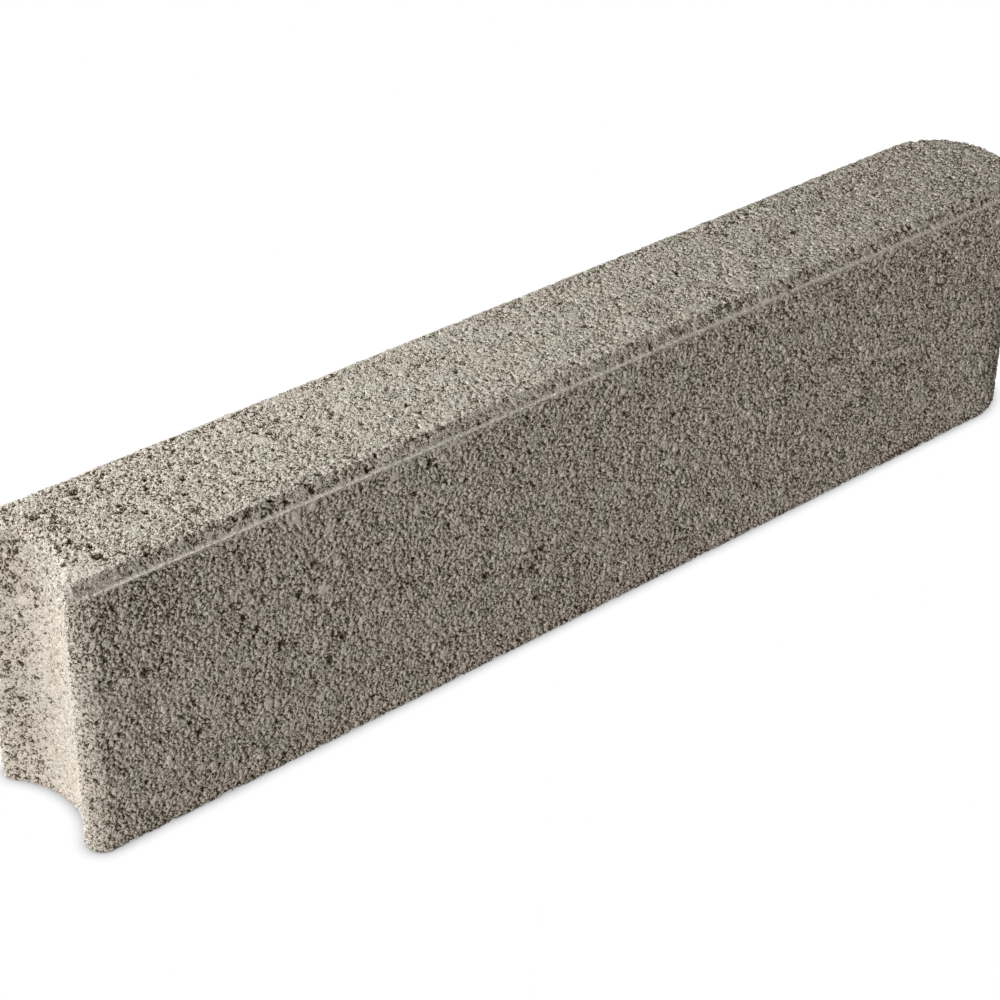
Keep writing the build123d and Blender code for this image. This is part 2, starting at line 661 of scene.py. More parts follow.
@dataclass(frozen=True)
class SandGrains:
    """Geometry Nodes that bed sand grains in a skin.

    Attributes:
        face_height: Height of the mould's or plate's face, which nothing stands above.
        density: Grains on a square metre.
        small: Size of the smallest grains.
        large: Size of the largest grains.
        openness: How open the grains' own surface is, as a share of the skin's.
        open_range: Openness of the skin where the grains start to lie, and where all of them do.
        narrowest: Smallest width of a grain, as a share of its size.
        size_power: Power that makes the larger grains rarer.
        sides: Sides of a grain seen from its tip.
        rings: Rings of faces on a grain.
        seed: Seed of the grains.
    """

    face_height: float
    density: float = 0.62e6
    small: float = 0.5 * MM
    large: float = 1.3 * MM
    openness: float = 1.0
    open_range: tuple[float, float] = (0.02, 0.1)
    narrowest: float = 0.7
    size_power: float = 2.0
    sides: int = 4
    rings: int = 2
    seed: int = 3

    def inputs(self) -> dict[str, float]:
        """The tree's named numbers and their values."""
        return {"Density": self.density, "Small": self.small, "Large": self.large,
                "Face Height": self.face_height, "Openness": self.openness}

    def tree(self) -> bpy.types.NodeTree:
        """Builds the node tree.

        Returns:
            The tree, with a named input for each of its sizes.
        """
        kit = SkinTree("sand_grains", {**dict.fromkeys(self.inputs(), "Float"), "Seed": "Int"})
        real = kit.add("GeometryNodeRealizeInstances")
        kit.feed(real.inputs[0], self.scatter(kit))
        return kit.close(self.level(kit, real.outputs[0]))

    def scatter(self, kit: SkinTree) -> bpy.types.NodeSocket:
        """Scatters angular grains over the open parts of the skin.

        Args:
            kit: Nodes of the tree.

        Returns:
            The socket of the grains, as instances.
        """
        given = kit.given
        bare = kit.math("SUBTRACT", 1.0, kit.read(Trait.PASTE), clamp=True)
        openness = kit.read(Trait.OPENNESS)
        share = kit.math("MULTIPLY", bare, kit.ramp(openness, *self.open_range))
        spread = kit.add("GeometryNodeDistributePointsOnFaces", distribute_method="RANDOM")
        kit.feed(spread.inputs["Mesh"], given["Geometry"])
        kit.feed(spread.inputs["Density"], kit.math("MULTIPLY", given["Density"], share))
        kit.feed(spread.inputs["Seed"], given["Seed"])
        grain = kit.add("GeometryNodeMeshUVSphere")
        grain.inputs["Segments"].default_value = self.sides
        grain.inputs["Rings"].default_value = self.rings
        grain.inputs["Radius"].default_value = 0.5
        turn = kit.add("FunctionNodeRandomValue", data_type="FLOAT_VECTOR")
        turn.inputs["Max"].default_value = (math.tau,) * 3
        kit.feed(turn.inputs["Seed"], given["Seed"])
        chance = kit.add("FunctionNodeRandomValue", data_type="FLOAT")
        kit.feed(chance.inputs["Seed"], given["Seed"])
        bed = kit.add("GeometryNodeInstanceOnPoints")
        kit.feed(bed.inputs["Points"], spread.outputs["Points"])
        kit.feed(bed.inputs["Instance"], grain.outputs["Mesh"])
        kit.feed(bed.inputs["Rotation"], turn.outputs[0])
        few_large = kit.math("POWER", chance.outputs[1], self.size_power)
        grain_size = kit.ramp(few_large, 0.0, 1.0, given["Small"], given["Large"], smooth=False)
        shape = kit.add("FunctionNodeRandomValue", data_type="FLOAT_VECTOR")
        shape.inputs["Min"].default_value = (self.narrowest,) * 3
        kit.feed(shape.inputs["Seed"], kit.math("ADD", given["Seed"], 2.0))
        kit.feed(bed.inputs["Scale"], kit.scale(shape.outputs[0], grain_size))
        tone = kit.add("FunctionNodeRandomValue", data_type="FLOAT")
        tone.inputs[2].default_value = -1.0
        kit.feed(tone.inputs["Seed"], kit.math("ADD", given["Seed"], 1.0))
        own = kit.math("MULTIPLY", openness, given["Openness"])
        toned = kit.store(bed.outputs[0], Trait.TONE, "FLOAT", tone.outputs[1], "INSTANCE")
        return kit.store(toned, Trait.OPENNESS, "FLOAT", own, "INSTANCE")

    def level(self, kit: SkinTree, grains: bpy.types.NodeSocket) -> bpy.types.NodeSocket:
        """Presses what stands out of the stone's face flat.

        Args:
            kit: Nodes of the tree.
            grains: Socket of the grains.

        Returns:
            The socket of the levelled grains, all above the floor, with their height over the skin.
        """
        normal = kit.read(Trait.CAST_NORMAL, "FLOAT_VECTOR")
        away = kit.add("ShaderNodeVectorMath", operation="SUBTRACT")
        kit.feed(away.inputs[0], kit.add("GeometryNodeInputPosition").outputs[0])
        kit.feed(away.inputs[1], kit.read(Trait.CAST_PLACE, "FLOAT_VECTOR"))
        height = kit.add("ShaderNodeVectorMath", operation="DOT_PRODUCT")
        kit.feed(height.inputs[0], away.outputs[0])
        kit.feed(height.inputs[1], normal)
        rise = height.outputs["Value"]
        kept = kit.math("MINIMUM", rise, kit.given["Face Height"])
        spare = kit.math("SUBTRACT", kit.given["Face Height"], rise)
        # The finish reads this height and paints shade on the grains' low parts, in the gaps between them
        skin = kit.store(grains, Trait.RELIEF, "FLOAT", kit.math("DIVIDE", kept, MM))
        skin = kit.move(skin, "Offset", kit.scale(normal, kit.math("MINIMUM", spare, 0.0)))
        # The floor's height is the only limit here, as the stone is well within a metre
        above = kit.add("ShaderNodeVectorMath", operation="MAXIMUM")
        kit.feed(above.inputs[0], kit.add("GeometryNodeInputPosition").outputs[0])
        above.inputs[1].default_value = (-1.0, -1.0, 0.0)
        return kit.move(skin, "Position", above.outputs[0])

    def bed(self, skin: bpy.types.Object, concrete: bpy.types.Material,
            kind: str = "sand") -> bpy.types.Object:
        """Beds grains in a finished skin.

        Args:
            skin: The finished skin.
            concrete: The material that they get.
            kind: Name of the grains.

        Returns:
            The grains, as one plain mesh.
        """
        grains = bpy.data.objects.new(f"{skin.name}_{kind}", skin.data.copy())
        bpy.context.scene.collection.objects.link(grains)
        apply_tree(grains, self.tree(), {**self.inputs(), "Seed": self.seed, "Concrete": concrete})
        return hand_over(grains)


@dataclass(frozen=True)
class Run:
    """One straight or round stretch of the stone's plan, with the stone on its left.

    Attributes:
        length: Length of the stretch.
        bend: Turn to the left per metre, 0 where the stretch is straight.
    """

    length: float
    bend: float

    def at(self, start: np.ndarray, heading: float, step: np.ndarray) -> tuple[np.ndarray, np.ndarray]:
        """Walks along the stretch.

        Args:
            start: Where the stretch starts.
            heading: Direction in which it starts.
            step: Distances along the stretch.

        Returns:
            The points, and the directions into the stone at them.
        """
        angle = heading + self.bend * step
        if self.bend == 0.0:
            offset = step[:, None] * np.array((math.cos(heading), math.sin(heading)))
        else:
            east = np.sin(angle) - math.sin(heading)
            north = math.cos(heading) - np.cos(angle)
            offset = np.stack([east, north], axis=1) / self.bend
        return start + offset, np.stack([-np.sin(angle), np.cos(angle)], axis=1)


@dataclass
class StonePlan:
    """Sizes of the stone and the shape of its plan and upper side.

    Attributes:
        low: Lowest corner of the stone.
        high: Highest corner of the stone.
        nose_radius: Radius of the round nose.
        groove_radius: Radius of the groove.
        lip_radius: Radius of the lips beside the groove.
        ledge_width: Width of the ledge outside the press plate.
        chamfer_rise: Height and width of the chamfer above the ledge.
        groove_edge_radius: Radius of the groove's soft upper edge.
        base_edge_radius: Radius of the edge round the base.
        arris_cell: Distance between the points of the arris.
        arris_wear: How far the arris is worn off in places.
        groove_wear: How far it is worn off round the groove.
        foot_wear: How far the foot is worn in, in places.
        wear_cell: Size of the worn places.
        chip_cell: Size of the small chips in them.
        chip_share: How much the chips add.
        foot_shift: Shift that sets the foot's worn places apart from the arris's.
        foot_share: Height where the sides end, as a share of the base edge's radius.
    """

    low: Vector
    high: Vector
    nose_radius: float
    groove_radius: float
    lip_radius: float = 6.0 * MM
    ledge_width: float = 1.5 * MM
    chamfer_rise: float = 3.5 * MM
    groove_edge_radius: float = 2.0 * MM
    base_edge_radius: float = 1.0 * MM
    arris_cell: float = 0.5 * MM
    arris_wear: float = 0.5 * MM
    groove_wear: float = 1.6 * MM
    foot_wear: float = 1.4 * MM
    wear_cell: float = 4.0 * MM
    chip_cell: float = 1.3 * MM
    chip_share: float = 0.7
    foot_shift: float = 1.0
    foot_share: float = 0.1

    @classmethod
    def from_frame(cls) -> "StonePlan":
        """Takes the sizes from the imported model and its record.

        Returns:
            The plan.
        """
        low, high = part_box(NODE)
        radius = {mount["name"]: mount["dims"].get("r_mm") for mount in frame["record"]["mounts"]}
        return cls(low, high, nose_radius=radius["nose"] * MM, groove_radius=radius["groove"] * MM)

    @property
    def half_width(self) -> float:
        """Half of the stone's width."""
        return (self.high.y - self.low.y) / 2

    @property
    def ledge_height(self) -> float:
        """Height of the ledge above the floor."""
        return self.high.z - self.chamfer_rise

    @property
    def nose_centre(self) -> float:
        """X of the nose's axis."""
        return self.high.x - self.nose_radius

    @property
    def lip_centre(self) -> tuple[float, float]:
        """X of the lips' axes, and their distance from the middle."""
        return self.low.x + self.lip_radius, self.half_width - self.lip_radius

    @property
    def groove_centre(self) -> float:
        """X of the groove's axis."""
        lip_x, lip_y = self.lip_centre
        return lip_x - math.sqrt((self.groove_radius + self.lip_radius) ** 2 - lip_y**2)

    def runs(self) -> list[Run]:
        """Splits the plan's outline into stretches.

        Returns:
            The stretches, against the clock from the front lip.
        """
        lip_x, lip_y = self.lip_centre
        turn = math.atan2(lip_y, lip_x - self.groove_centre)
        side = Run(self.nose_centre - lip_x, 0.0)
        nose = Run(math.pi * self.nose_radius, 1.0 / self.nose_radius)
        lip = Run((math.pi / 2 + turn) * self.lip_radius, 1.0 / self.lip_radius)
        groove = Run(2 * turn * self.groove_radius, -1.0 / self.groove_radius)
        return [side, nose, side, lip, groove, lip]

    def perimeter(self) -> float:
        """Length of the plan's outline."""
        return sum(run.length for run in self.runs())

    def walk(self, distance: np.ndarray) -> tuple[np.ndarray, np.ndarray]:
        """Walks round the plan, against the clock from the front lip.

        Args:
            distance: Distances along the outline.

        Returns:
            The points, and the directions into the stone at them.
        """
        points = np.zeros((len(distance), 2))
        inward = np.zeros((len(distance), 2))
        start = np.array((self.lip_centre[0], -self.half_width))
        heading = 0.0
        done = 0.0
        for run in self.runs():
            here = distance >= done
            points[here], inward[here] = run.at(start, heading, distance[here] - done)
            start = run.at(start, heading, np.array([run.length]))[0][0]
            heading += run.bend * run.length
            done += run.length
        return points, inward

    def ring(self) -> np.ndarray:
        """Spreads the arris's points evenly round the plan.

        Returns:
            Their distances along the outline, an even number of them.
        """
        length = self.perimeter()
        count = 2 * round(length / (2 * self.arris_cell))
        return np.arange(count) * length / count

    def worn(self, plan: np.ndarray, most: float) -> np.ndarray:
        """How far an edge is worn.

        Args:
            plan: Points of the edge.
            most: Largest share.

        Returns:
            A share for each point.
        """
        chips = self.chip_share * speckle(plan, self.chip_cell)
        return np.clip(speckle(plan, self.wear_cell) + chips, 0.0, most)

    def arris(self) -> tuple[np.ndarray, np.ndarray]:
        """The line where the top meets the sides, worn in places.

        Returns:
            The line's points, and the directions into the stone at them.
        """
        plan, inward = self.walk(self.ring())
        height = self.roof_height(plan)
        at_groove = plan[:, 0] < self.lip_centre[0]
        reach = np.where(at_groove, self.groove_wear, self.arris_wear)
        wear = reach * self.worn(plan, most=0.6)
        return np.column_stack([plan + inward * wear[:, None], height - wear]), inward

    def side_gap(self, plan: np.ndarray) -> np.ndarray:
        """How far points lie inside the long sides and the nose, seen from above."""
        beyond = np.maximum(plan[:, 0] - self.nose_centre, 0.0)
        return self.half_width - np.hypot(beyond, plan[:, 1])

    def groove_gap(self, plan: np.ndarray) -> np.ndarray:
        """How far points lie from the groove and the tips of its lips, seen from above.

        Args:
            plan: The points.

        Returns:
            A distance for each point.
        """
        lip_x, lip_y = self.lip_centre
        groove = np.hypot(plan[:, 0] - self.groove_centre, plan[:, 1]) - self.groove_radius
        lip = self.lip_radius - np.hypot(plan[:, 0] - lip_x, np.abs(plan[:, 1]) - lip_y)
        at_lip = (plan[:, 0] < lip_x) & (np.abs(plan[:, 1]) > lip_y)
        return np.where(at_lip, np.minimum(lip, groove), groove)

    def outward(self, plan: np.ndarray) -> np.ndarray:
        """Level directions out of the stone at points on or near the outline.

        Args:
            plan: The points.

        Returns:
            A unit vector for each point.
        """
        outline, inward = self.walk(self.ring())
        finder = KDTree(len(outline))
        for number, spot in enumerate(outline):
            finder.insert((*spot, 0.0), number)
        finder.balance()
        nearest = [finder.find((*spot, 0.0))[1] for spot in plan]
        return np.column_stack([-inward[nearest], np.zeros(len(plan))])

    @property
    def foot_height(self) -> float:
        """Height where the sides end and the base starts."""
        return self.low.z + self.foot_share * self.base_edge_radius

    def foot(self) -> tuple[np.ndarray, np.ndarray, np.ndarray]:
        """The line where the sides meet the base, at every second point of the arris.

        Returns:
            The plan's points there, the directions into the stone, and how far the foot is worn in.
        """
        plan, inward = self.walk(self.ring()[::2])
        return plan, inward, self.foot_wear * self.worn(plan + self.foot_shift, most=0.7)

    def foot_inset(self, height: np.ndarray) -> np.ndarray:
        """How far the rounded edge of the base draws the sides in.

        Args:
            height: Heights above the floor.

        Returns:
            A distance for each height.
        """
        radius = self.base_edge_radius
        short = np.clip(radius - (height - self.low.z), 0.0, radius)
        return radius - np.sqrt(radius**2 - short**2)

    def roof_height(self, plan: np.ndarray) -> np.ndarray:
        """Height of the stone's upper side at plan points.

        Args:
            plan: Points inside or on the outline.

        Returns:
            Their heights, on the ledge, the chamfer, the top or the groove's soft edge.
        """
        plate_gap = self.side_gap(plan) - self.ledge_width
        pressed = self.ledge_height + np.clip(plate_gap, 0.0, self.chamfer_rise)
        radius = self.groove_edge_radius
        short = np.clip(radius - self.groove_gap(plan), 0.0, radius)
        return np.minimum(pressed, self.high.z - radius + np.sqrt(radius**2 - short**2))

    def inner_points(self, cell: float, inset: float, seed: int) -> np.ndarray:
        """Scatters points evenly over the plan.

        Args:
            cell: Distance between the points.
            inset: How far they stay from the outline.
            seed: Seed of their small shifts.

        Returns:
            The points.
        """
        grid = scatter((self.low.x, self.high.x), (self.low.y, self.high.y), cell, seed)
        return grid[(self.side_gap(grid) > inset) & (self.groove_gap(grid) > inset)]

    def crease(self, inset: float, cell: float) -> np.ndarray:
        """Points along a line that follows the long sides and the nose, seen from above.

        Args:
            inset: How far inside the outline the line runs.
            cell: Distance between the points.

        Returns:
            The points, from the front lip round the nose to the back lip.
        """
        lip_x, _ = self.lip_centre
        side = Run(self.nose_centre - lip_x, 0.0)
        nose_radius = self.nose_radius - inset
        nose = Run(math.pi * nose_radius, 1.0 / nose_radius)
        start = np.array((lip_x, inset - self.half_width))
        heading = 0.0
        parts = []
        for run in (side, nose, side):
            steps = np.linspace(0.0, run.length, round(run.length / cell), endpoint=False)
            parts.append(run.at(start, heading, steps)[0])
            start = run.at(start, heading, np.array([run.length]))[0][0]
            heading += run.bend * run.length
        return np.concatenate(parts)


class Shell:
    """Collects the points and faces of one closed mesh."""

    def __init__(self) -> None:
        """Starts with nothing."""
        self.points: list[np.ndarray] = []
        self.faces: list[tuple[int, ...]] = []
        self.count = 0

    def add(self, points: np.ndarray) -> np.ndarray:
        """Adds points.

        Args:
            points: The points.

        Returns:
            Their numbers.
        """
        self.points.append(points)
        self.count += len(points)
        return np.arange(self.count - len(points), self.count)

    def band(self, lower: np.ndarray, upper: np.ndarray) -> None:
        """Joins two closed rings of as many points, the lower one below or outside."""
        for i in range(len(lower)):
            self.faces.append((lower[i - 1], lower[i], upper[i], upper[i - 1]))

    def fill(self, border: np.ndarray, inner: np.ndarray, lines: list[np.ndarray] | None = None,
             upside: bool = True) -> tuple[np.ndarray, list[tuple[int, ...]]]:
        """Fills a flat outline with triangles.

        Args:
            border: Points round the outline, against the clock.
            inner: Points inside it.
            lines: Rows of points inside it that the triangles' edges follow.
            upside: Whether the triangles face up.

        Returns:
            The points, with the outline's first, and the triangles.
        """
        lines = lines or []
        count = len(border)
        edges = []
        start = count
        for line in lines:
            edges += [(start + k, start + k + 1) for k in range(len(line) - 1)]
            start += len(line)
        given = [Vector(point) for point in np.concatenate([border, *lines, inner])]
        outline = [list(range(count))]
        found, _, faces, origins, _, _ = delaunay_2d_cdt(given, edges, outline, FILL_INSIDE, SAME_POINT)
        number = {index: origin[0] for index, origin in enumerate(origins) if origin and origin[0] < count}
        loose = [index for index in range(len(found)) if index not in number]
        number.update({index: count + k for k, index in enumerate(loose)})
        points = np.concatenate([border, np.array([found[k] for k in loose]).reshape(-1, 2)])
        step = 1 if upside else -1
        return points, [tuple(number[k] for k in face[::step]) for face in faces]

    def place(self, ids: np.ndarray, triangles: list[tuple[int, ...]]) -> None:
        """Adds triangles between points with these numbers."""
        self.faces += [tuple(int(ids[k]) for k in face) for face in triangles]

    def mesh(self, name: str) -> bpy.types.Mesh:
        """Makes the mesh, smooth but for its sharp edges.

        Args:
            name: Name of the mesh.

        Returns:
            The mesh.
        """
        made = bpy.data.meshes.new(name)
        made.from_pydata(np.concatenate(self.points).tolist(), [], self.faces)
        made.validate()
        made.shade_smooth()
        made.set_sharp_from_angle(angle=SHARP_ANGLE)
        return made


class Skin(ABC):
    """A part of the stone's skin that takes the relief."""

    @abstractmethod
    def build(self) -> bpy.types.Object:
        """Builds the smooth piece."""

    def dress(self, finish: bpy.types.Material, relief: GrainRelief) -> bpy.types.Object:
        """Builds the piece and finishes it.

        Args:
            finish: The concrete.
            relief: The relief pressed into it.

        Returns:
            The finished piece.
        """
        piece = self.build()
        relief.press(piece, finish)
        return hand_over(piece)


@dataclass
class PressedTop(Skin):
    """The upper side that the press plate formed: the ledge, the chamfer and the top.

    Attributes:
        plan: The stone's plan.
        cell: Size of the faces.
        openness: How open the concrete is.
        end_openness: How much opener it is at the groove end.
        end_share: Share of the length over which this fades.
        nose_openness: How much opener it is at the nose.
        nose_start: Share of the length where it starts to get so.
        ledge_openness: How open the concrete is on the ledge.
        ledge_margin: How far beyond the ledge's width this reaches.
        lip_closeness: How much closer the concrete is on the front lip.
        lip_reach: How far from the stone's end and front this reaches.
        lip_fade: Width over which it fades.
        tuck: How far the hidden underside lies below and inside the arris.
    """

    plan: StonePlan
    cell: float = 0.58 * MM
    openness: float = 1.12
    end_openness: float = 0.32
    end_share: float = 0.3
    nose_openness: float = 0.25
    nose_start: float = 0.4
    ledge_openness: float = 0.4
    ledge_margin: float = 0.1 * MM
    lip_closeness: float = 0.4
    lip_reach: float = 20.0 * MM
    lip_fade: float = 8.0 * MM
    tuck: float = 1.0 * MM

    def build(self) -> bpy.types.Object:
        """Builds the smooth upper side.

        Returns:
            The closed piece, with its traits on its points.
        """
        plan = self.plan
        arris, inward = plan.arris()
        insets = (plan.ledge_width, plan.ledge_width + plan.chamfer_rise)
        lines = [plan.crease(inset, self.cell) for inset in insets]
        inner = plan.inner_points(self.cell, 0.5 * self.cell, seed=11)
        for inset in insets:
            inner = inner[np.abs(plan.side_gap(inner) - inset) > 0.5 * self.cell]
        shell = Shell()
        points, triangles = shell.fill(arris[:, :2], inner, lines)
        extra = points[len(arris):]
        rim = shell.add(arris)
        ids = np.concatenate([rim, shell.add(np.column_stack([extra, plan.roof_height(extra)]))])
        shell.place(ids, triangles)
        tucked = arris[:, :2] + inward * self.tuck
        under = np.column_stack([tucked, arris[:, 2] - self.tuck])
        low_rim = shell.add(under)
        shell.band(low_rim, rim)
        _, triangles = shell.fill(tucked, np.zeros((0, 2)), upside=False)
        shell.place(low_rim, triangles)
        return self.finish(shell.mesh("pressed_top"), rim, low_rim)

    def finish(self, mesh: bpy.types.Mesh, rim: np.ndarray, hidden: np.ndarray) -> bpy.types.Object:
        """Adds the traits and makes the object.

        Args:
            mesh: The smooth mesh.
            rim: Numbers of the arris's points.
            hidden: Numbers of the underside's points.

        Returns:
            The object.
        """
        plan = self.plan
        place = places(mesh)
        side = plan.side_gap(place[:, :2])
        along = (place[:, 0] - plan.low.x) / (plan.high.x - plan.low.x)
        by_end = np.clip(1.0 - along / self.end_share, 0.0, 1.0)
        by_nose = np.clip((along - self.nose_start) / (1.0 - self.nose_start), 0.0, 1.0)
        openness = self.openness + self.end_openness * by_end + self.nose_openness * by_nose
        by_groove = np.clip((plan.low.x + self.lip_reach - place[:, 0]) / self.lip_fade, 0.0, 1.0)
        by_front = np.clip((plan.low.y + self.lip_reach - place[:, 1]) / self.lip_fade, 0.0, 1.0)
        openness *= 1.0 - self.lip_closeness * by_groove * by_front
        openness[side < plan.ledge_width + self.ledge_margin] = self.ledge_openness
        openness[hidden] = 0.0
        add_traits(mesh, openness, self.facing(place[:, :2]), rim)
        return add_object(mesh)

    def facing(self, plan_points: np.ndarray) -> np.ndarray:
        """Directions that the smooth upper side faces.

        Args:
            plan_points: Points seen from above.

        Returns:
            A unit vector for each point.
        """
        step = 0.05 * MM
        east, north = np.eye(2) * step
        roof = self.plan.roof_height
        slope_x = (roof(plan_points + east) - roof(plan_points - east)) / (2 * step)
        slope_y = (roof(plan_points + north) - roof(plan_points - north)) / (2 * step)
        facing = np.column_stack([-slope_x, -slope_y, np.ones(len(plan_points))])
        return facing / np.linalg.norm(facing, axis=1)[:, None]


@dataclass
class MouldedPanel(Skin):
    """One stretch of the sides that the mould formed, as a closed slab.

    Attributes:
        plan: The stone's plan.
        name: Name of the piece.
        start: Number of the arris's point where the stretch starts, an even one.
        end: Number of the arris's point where it ends, an even one.
        cell: Size of the faces.
        openness: How open the concrete is.
        band_openness: How open it is on the smooth band along the groove's front lip.
        band_edge: Y where this band starts to fade.
        band_fade: Width over which it fades.
        lip_edge: Distance from the middle where the lip gets rough again.
        nose_openness: How much opener the concrete gets towards the nose.
        nose_middle: Share of this in the middle of the stone.
        end_openness: How much opener it is at the groove end, under the ledge.
        end_reach: How far from this end it is.
        end_fade: Length and height over which this fades.
        foot_openness: How much opener it is at the foot.
        foot_reach: Height up to which it is.
        seam_cell: Distance between the points of a seam.
        inner_cell: Size of the faces of the hidden inner side.
        tuck: Thickness of the slab.
    """

    plan: StonePlan
    name: str
    start: int
    end: int
    cell: float
    openness: float = 0.98
    band_openness: float = 0.98
    band_edge: float = 6.0 * MM
    band_fade: float = 8.0 * MM
    lip_edge: float = 15.0 * MM
    nose_openness: float = 0.30
    nose_middle: float = 0.4
    end_openness: float = 0.35
    end_reach: float = 60.0 * MM
    end_fade: float = 30.0 * MM
    foot_openness: float = 0.6
    foot_reach: float = 3.0 * MM
    seam_cell: float = 0.7 * MM
    inner_cell: float = 5.0 * MM
    tuck: float = 2.0 * MM

    def build(self) -> bpy.types.Object:
        """Builds the smooth panel.

        Returns:
            The closed piece, with its traits on its points.
        """
        plan = self.plan
        arris, _ = plan.arris()
        ring = plan.ring()
        reach = np.arange(self.start, self.end + 1)
        walk = np.where(reach < len(ring), ring[reach % len(ring)], plan.perimeter())
        rim = np.column_stack([walk, arris[reach % len(ring), 2]])
        foot = np.column_stack([walk[::2], np.full(len(walk[::2]), plan.foot_height)])
        right = self.seam(rim[-1])
        left = self.seam(rim[0])
        border = np.concatenate([foot, right, rim[::-1], left[::-1]])
        shell = Shell()
        points, triangles = shell.fill(border, self.inner_points(walk, self.cell, 0.5 * self.cell))
        shape = self.on_wall(points, 0.0)
        rim_at = np.arange(len(foot) + len(right), len(foot) + len(right) + len(rim))
        shape[rim_at] = arris[reach % len(ring)][::-1]
        _, inward, worn = plan.foot()
        foot_at = (reach[::2] // 2) % len(worn)
        shape[:len(foot), :2] += inward[foot_at] * worn[foot_at, None]
        outer = shell.add(shape)
        shell.place(outer, triangles)
        inset = self.inset(border, walk)
        inner_points = self.inset(self.inner_points(walk, self.inner_cell, self.inner_cell), walk)
        points, triangles = shell.fill(inset, inner_points, upside=False)
        hidden = shell.add(self.on_wall(points, self.tuck))
        shell.place(hidden, triangles)
        shell.band(hidden[:len(border)], outer[:len(border)])
        held = np.concatenate([outer[rim_at], outer[:len(foot)]])
        return self.finish(shell.mesh(self.name), held, hidden)

    def seam(self, rim_end: np.ndarray) -> np.ndarray:
        """Points up one end of the panel.

        Args:
            rim_end: The arris's point at this end, on the unrolled panel.

        Returns:
            The points on the unrolled panel, without the foot's and the arris's.
        """
        bottom = self.plan.foot_height
        count = round((rim_end[1] - bottom) / self.seam_cell) + 1
        rise = np.linspace(bottom, rim_end[1], count)[1:-1]
        return np.column_stack([np.full(len(rise), rim_end[0]), rise])

    def inner_points(self, walk: np.ndarray, cell: float, margin: float) -> np.ndarray:
        """Scatters points over the unrolled panel.

        Args:
            walk: Distances of the arris's points.
            cell: Distance between the points.
            margin: How far they stay from the border.

        Returns:
            The points, as distances round the plan and heights.
        """
        bottom = self.plan.foot_height + margin
        grid = scatter((walk[0] + margin, walk[-1] - margin), (bottom, self.plan.high.z), cell, seed=12)
        # The small shifts may take a point this much closer to the border
        slack = 0.4 * margin
        along, up = grid.T
        inside = (along > walk[0] + margin - slack) & (along < walk[-1] - margin + slack)
        under_rim = up < np.interp(along, walk, self.worn_rim()) - margin
        return grid[inside & (up > bottom - slack) & under_rim]

    def worn_rim(self) -> np.ndarray:
        """Heights of the worn arris at its points on this panel."""
        arris, _ = self.plan.arris()
        return arris[np.arange(self.start, self.end + 1) % len(arris), 2]

    def inset(self, points: np.ndarray, walk: np.ndarray) -> np.ndarray:
        """Draws points of the unrolled panel in from the foot and the arris.

        Args:
            points: The points.
            walk: Distances of the arris's points.

        Returns:
            The points drawn in.
        """
        bottom = self.plan.foot_height
        rim_height = np.interp(points[:, 0], walk, self.worn_rim())
        share = (points[:, 1] - bottom) / (rim_height - bottom)
        low = bottom + self.tuck
        return np.column_stack([points[:, 0], low + share * (rim_height - 2 * self.tuck - low)])

    def on_wall(self, points: np.ndarray, depth: float) -> np.ndarray:
        """Rolls points of the unrolled panel up.

        Args:
            points: The points.
            depth: How deep inside the wall they go.

        Returns:
            Their positions on the stone.
        """
        plan, inward = self.plan.walk(points[:, 0])
        inset = depth + self.plan.foot_inset(points[:, 1])
        return np.column_stack([plan + inward * inset[:, None], points[:, 1]])

    def finish(self, mesh: bpy.types.Mesh, held: np.ndarray, hidden: np.ndarray) -> bpy.types.Object:
        """Adds the traits and makes the object.

        Args:
            mesh: The smooth mesh.
            held: Numbers of the points that the relief leaves in place.
            hidden: Numbers of the inner side's points.

        Returns:
            The object.
        """
        place = places(mesh)
        x, y, z = place.T
        plan = self.plan
        back_share = np.clip((y - self.band_edge) / self.band_fade, 0.0, 1.0)
        lip_share = np.clip((-y - self.lip_edge) / self.band_fade, 0.0, 1.0)
        rough_share = np.maximum(back_share, lip_share)
        openness = self.band_openness + (self.openness - self.band_openness) * rough_share
        by_nose = np.clip(self.nose_middle + (1.0 - self.nose_middle) * x / plan.high.x, 0.0, 1.0)
        by_groove = np.clip((plan.low.x + self.end_reach - x) / self.end_fade, 0.0, 1.0)
        by_ledge = np.clip((z - plan.ledge_height) / self.end_fade + 1.0, 0.0, 1.0)
        openness += self.nose_openness * by_nose + self.end_openness * by_groove * by_ledge
        by_foot = np.clip(1.0 - z / self.foot_reach, 0.0, 1.0)
        openness *= 1.0 + self.foot_openness * by_foot
        openness[hidden] = 0.0
        add_traits(mesh, openness, plan.outward(place[:, :2]), held)
        return add_object(mesh)


